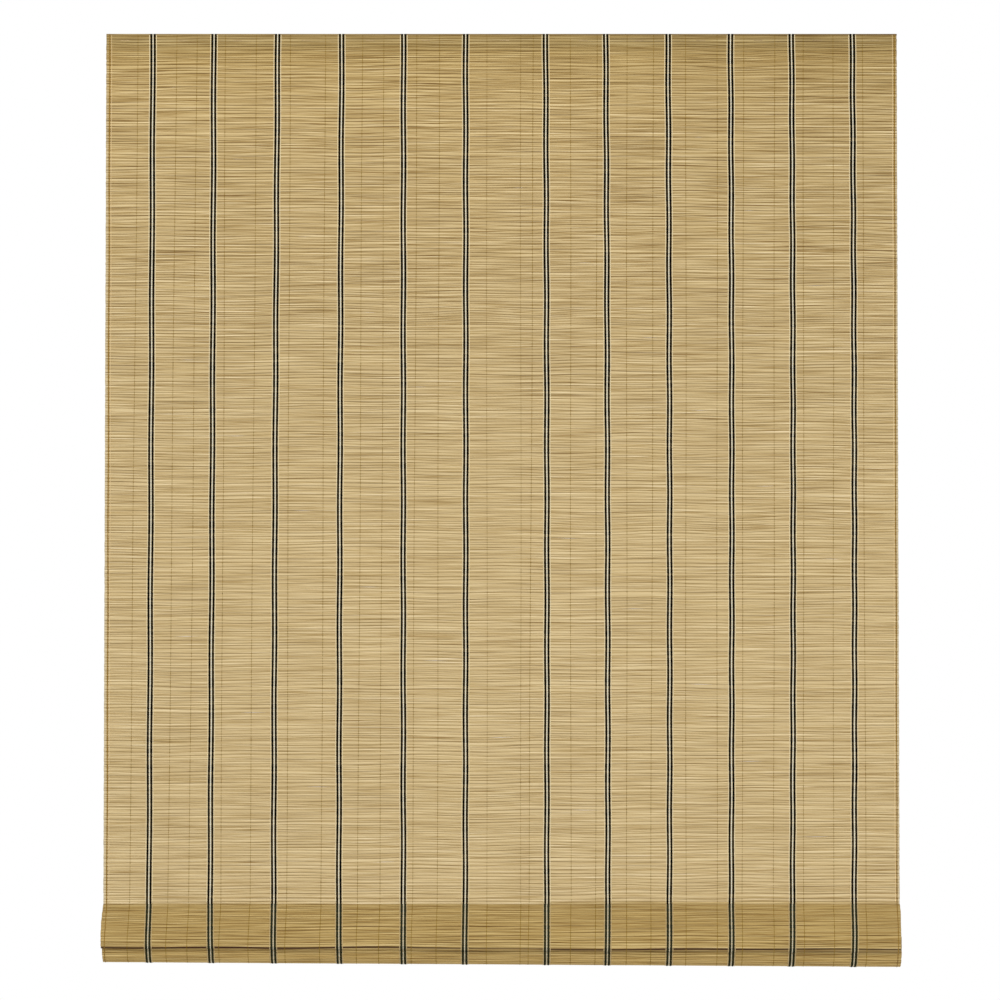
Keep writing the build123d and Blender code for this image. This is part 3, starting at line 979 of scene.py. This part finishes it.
# The lap over the roll. Its first reed reaches up to the hanging mat's foot
lap_count = round(lap_length / reed_pitch)
lap_seams = seam_lines(rng, lap_count, lap_length, reed_stations)
lap_share = lap_seams / lap_length
lip_line = lip_fall * np.linspace(-1, 1, reed_stations)
lip_line = lip_line + lip_waves * waves(rng, 1, reed_stations, lip_reach)[0]
lap_seams = lap_seams + lap_share ** 3 * lip_line[None, :]
lap_seams[0] -= mat_foot - lap_top + overlap
lap_tone = np.zeros(lap_count)
# A painted highlight on the reed just above the lip
lap_tone[-2] = lip_highlight
lap_piece = reeds("lap_reeds", lap_path, lap_seams, x_stations, "hem", no_light, lap_painted_brightness, rng,
                  row_tone=lap_tone, run_start=7.0, shade=lap_shade, crease=lap_crease, sideways=lap_shift)
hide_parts("mat_lap")

# The roll: reeds with all stations on the outer turn, and with five on the hidden turns
roll_count = round(spiral_length[-1] / reed_pitch)
roll_seams = seam_lines(rng, roll_count, spiral_length[-1], reed_stations)
outer_row = int(np.searchsorted(roll_seams[:, 0], outer_start - 2 * reed_pitch))
few = [0, 1, reed_stations // 2, reed_stations - 2, reed_stations - 1]
outer = reeds("roll_outer_reeds", roll_path, roll_seams[outer_row:], x_stations, "roll", no_light, roll_painted_brightness,
              rng, run_start=9.0, sideways=lambda distance, x: roll_shift)
inner = reeds("roll_inner_reeds", roll_path, roll_seams[:outer_row + 1][:, few], x_stations[few], "roll",
              no_light, roll_painted_brightness, rng, run_start=9.0, sideways=lambda distance, x: roll_shift)
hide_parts("rolled_mat")
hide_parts("rolled_mat")

# The bands on the hanging mat, front and back
for number in range(len(band_foot)):
    dark, pale, cream = [], [], []
    for back in (False, True):
        each = 1 if back else 2
        for side in (-1, 1):
            dark.append(hanging_cord(number, side * dark_offset, dark_width, dark_proud, each, back))
            cream.append(hanging_cord(number, side * cream_offset, cream_width, cream_proud, 1, back))
        pale.append(hanging_cord(number, 0.0, white_width, white_proud, each, back))
    label = f"{number + 1:02d}"
    piece = join_tubes(f"band_dark_{label}", dark, "head", materials["dark"])
    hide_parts(f"warp_dark_{label}")
    rises(piece)
    piece = join_tubes(f"band_white_{label}", pale, "head", materials["pale"])
    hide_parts(f"warp_pale_{label}")
    rises(piece)
    piece = join_tubes(f"band_cream_{label}", cream, "head", materials["cream"])
    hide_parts(f"warp_pale_{label}")
    rises(piece)

# All cords and threads on the lap and the roll
lap_cords = turned_cords(lap_path, lap_seams, "hem", "lap")
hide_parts("lap_dark_warps")
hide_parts("lap_pale_warps")
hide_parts("lap_pale_warps")
turned_cords(roll_path, roll_seams, "roll", "roll", outer_start + 2 * reed_pitch)

# Thin warps, selvedge threads and the pale warps beside them on the hanging mat
thin = [thin_cord(index, top_x, foot_x, side)
        for index, (top_x, foot_x) in enumerate(zip(thin_top, thin_foot)) for side in (1, -1)]
piece = join_tubes("thin_warps", thin, "head", materials["fine"])
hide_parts("fine_warps")
rises(piece)
for label, x in zip(("left", "right"), selvedge_x):
    grids = [selvedge_cord(x * MM, side) for side in (1, -1)]
    piece = join_tubes(f"selvedge_{label}", grids, "head", materials["brown"])
    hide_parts(f"edge_thread_{label}")
    rises(piece)
    grid = honey_cord(x * MM - math.copysign(honey_inset, x))
    piece = join_tubes(f"honey_warp_{label}", [grid], "head", materials["honey"])
    rises(piece)

# Finishes of the pieces that keep their own shape
finishes = {
    "head_batten": "batten", "bottom_pole": "pole", "wall_bracket_left": "bracket",
    "wall_bracket_right": "bracket", "bracket_screws": "screw", "guide_screws": "screw",
    "mat_staples": "staple", "pulley_housing": "guide", "lock_housing": "guide", "pulley_sheave": "sheave",
    "lock_sheave": "sheave", "pulley_pin": "brass", "lock_pin": "brass", "lock_roller": "brass",
}
for node, key in finishes.items():
    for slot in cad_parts[node].material_slots:
        slot.material = materials[key]

# Camera at the photograph's place: far back and a little low
view_distance = 6.0
view_drop = 0.283
view_shift = -1.7 * MM
centre_z = -0.4882
camera_data = bpy.data.cameras.new("camera")
camera_data.lens = 190.7
camera_data.sensor_width = 36.0
camera = bpy.data.objects.new("camera", camera_data)
bpy.context.scene.collection.objects.link(camera)
camera.location = (view_shift, mat_y - view_distance, centre_z - view_drop)
camera.rotation_euler = (math.pi / 2 + math.atan(view_drop / view_distance), 0.0, 0.0)
bpy.context.scene.camera = camera

# Soft lamps in front of the blind and one behind it
lamp_size = 1.6
area_light("key", (-0.7, -2.3, 1.1), (0.0, mat_y, centre_z), lamp_size, 42.0)
area_light("fill", (1.3, -2.4, -0.4), (0.0, mat_y, centre_z), lamp_size, 16.0)
area_light("rear", (0.5, 2.2, 0.6), (0.0, mat_y, centre_z), lamp_size, 20.0)

# White to the camera, an even grey to light the part
room_light = 0.55
world = bpy.data.worlds.new("studio")
bpy.context.scene.world = world
world.use_nodes = True
nodes, links = world.node_tree.nodes, world.node_tree.links
background = nodes["Background"]
path_node = nodes.new("ShaderNodeLightPath")
seen = path_node.outputs["Is Camera Ray"]
for ray in ("Is Glossy Ray", "Is Transmission Ray"):
    seen = math_node(nodes, links, "MAXIMUM", seen, path_node.outputs[ray])
background.inputs["Color"].default_value = (1.0, 1.0, 1.0, 1.0)
links.new(map_range(nodes, links, seen, 0.0, 1.0, room_light, 1.0), background.inputs["Strength"])

# A pale floor well below the blind, out of the photograph's frame
floor_mesh = bpy.data.meshes.new("floor")
floor_x = 1.6
floor_y = 1.15
floor_z = cad_box[0].z - 0.32
corners = [(-floor_x, -floor_y), (floor_x, -floor_y), (floor_x, floor_y), (-floor_x, floor_y)]
floor_mesh.from_pydata([(x, y, floor_z) for x, y in corners], [], [(0, 1, 2, 3)])
floor = bpy.data.objects.new("floor", floor_mesh)
bpy.context.scene.collection.objects.link(floor)
floor_material, _, _, shader = new_material("floor")
shader.inputs["Base Color"].default_value = (0.86, 0.86, 0.85, 1.0)
shader.inputs["Roughness"].default_value = 0.8
floor_mesh.materials.append(floor_material)

bpy.context.scene.view_settings.view_transform = "Standard"
